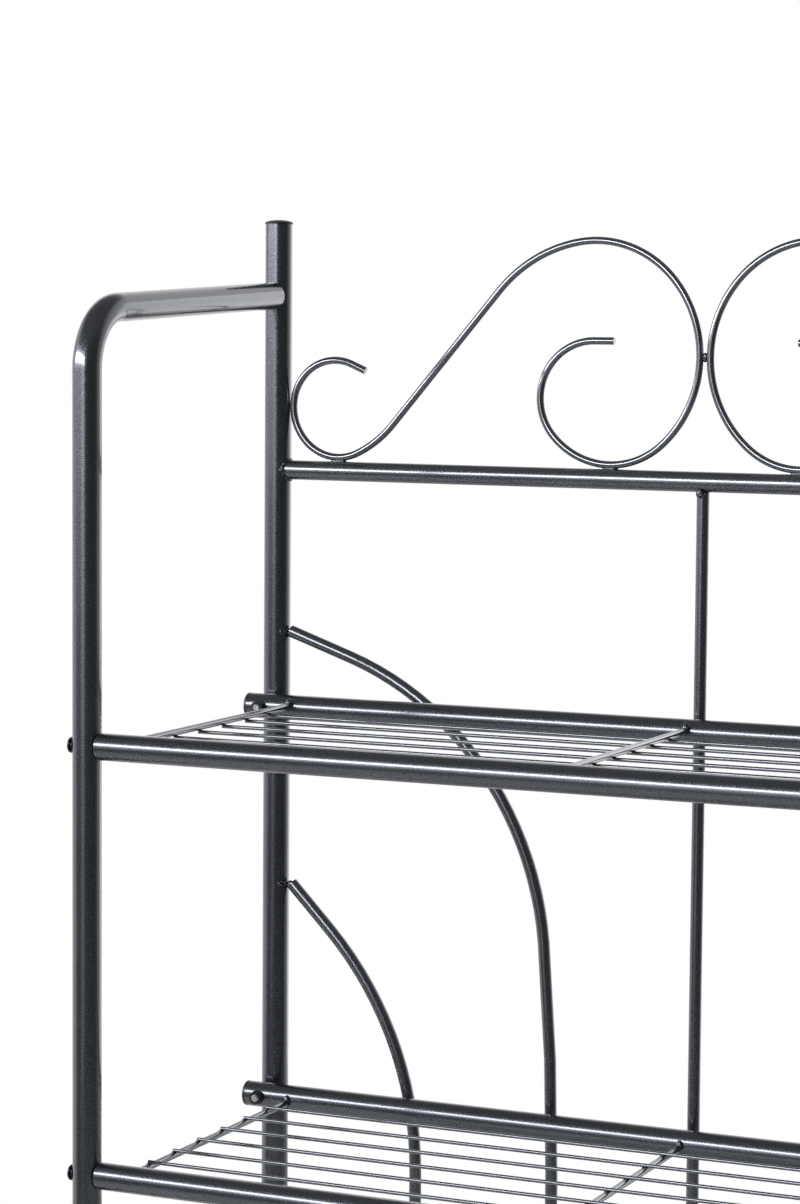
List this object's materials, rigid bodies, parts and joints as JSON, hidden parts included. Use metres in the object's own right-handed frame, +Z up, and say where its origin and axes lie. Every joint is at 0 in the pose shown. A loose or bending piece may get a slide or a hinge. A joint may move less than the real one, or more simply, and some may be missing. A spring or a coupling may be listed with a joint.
{
  "type": "bakers rack",
  "caption": "Free-standing steel tube bakers rack: open wire shelves between front legs that bend back into arms and rear posts, with a back panel of curved rods under S-shaped scrolls.",
  "frame": {"origin": "on the floor, under the middle of the rack", "axes": "+Z up along the posts, +X towards the rack's right as seen from its front, +Y from the front legs to the rear posts"},
  "size_m": [0.7692, 0.34, 1.4939],
  "materials": {
    "painted_steel": "dark grey powder coat, glossy and slightly hammered",
    "black_plastic": "black, satin",
    "blackened_steel": "blackened, satin"
  },
  "bodies": {
    "root": {"side_tube_left": "painted_steel", "side_tube_right": "painted_steel", "rear_post_left": "painted_steel", "rear_post_right": "painted_steel", "post_cap_left": "black_plastic", "post_cap_right": "black_plastic", "foot_front_left": "black_plastic", "foot_front_right": "black_plastic", "foot_rear_left": "black_plastic", "foot_rear_right": "black_plastic", "top_rail": "painted_steel", "bottom_rail": "painted_steel", "centre_rod": "painted_steel", "outer_rod_left": "painted_steel", "outer_rod_right": "painted_steel", "inner_rod_left": "painted_steel", "inner_rod_right": "painted_steel", "scroll_left": "painted_steel", "scroll_right": "painted_steel", "shelf_1_front_tube": "painted_steel", "shelf_1_rear_tube": "painted_steel", "shelf_1_wires": "painted_steel", "shelf_1_plug_left": "black_plastic", "shelf_1_plug_right": "black_plastic", "shelf_1_front_bolt_left": "blackened_steel", "shelf_1_front_bolt_right": "blackened_steel", "shelf_1_rear_bolt_left": "blackened_steel", "shelf_1_rear_bolt_right": "blackened_steel", "shelf_2_front_tube": "painted_steel", "shelf_2_rear_tube": "painted_steel", "shelf_2_wires": "painted_steel", "shelf_2_plug_left": "black_plastic", "shelf_2_plug_right": "black_plastic", "shelf_2_front_bolt_left": "blackened_steel", "shelf_2_front_bolt_right": "blackened_steel", "shelf_2_rear_bolt_left": "blackened_steel", "shelf_2_rear_bolt_right": "blackened_steel", "shelf_3_front_tube": "painted_steel", "shelf_3_rear_tube": "painted_steel", "shelf_3_wires": "painted_steel", "shelf_3_plug_left": "black_plastic", "shelf_3_plug_right": "black_plastic", "shelf_3_front_bolt_left": "blackened_steel", "shelf_3_front_bolt_right": "blackened_steel", "shelf_3_rear_bolt_left": "blackened_steel", "shelf_3_rear_bolt_right": "blackened_steel", "shelf_4_front_tube": "painted_steel", "shelf_4_rear_tube": "painted_steel", "shelf_4_wires": "painted_steel", "shelf_4_plug_left": "black_plastic", "shelf_4_plug_right": "black_plastic", "shelf_4_front_bolt_left": "blackened_steel", "shelf_4_front_bolt_right": "blackened_steel", "shelf_4_rear_bolt_left": "blackened_steel", "shelf_4_rear_bolt_right": "blackened_steel"}
  },
  "joints": []
}
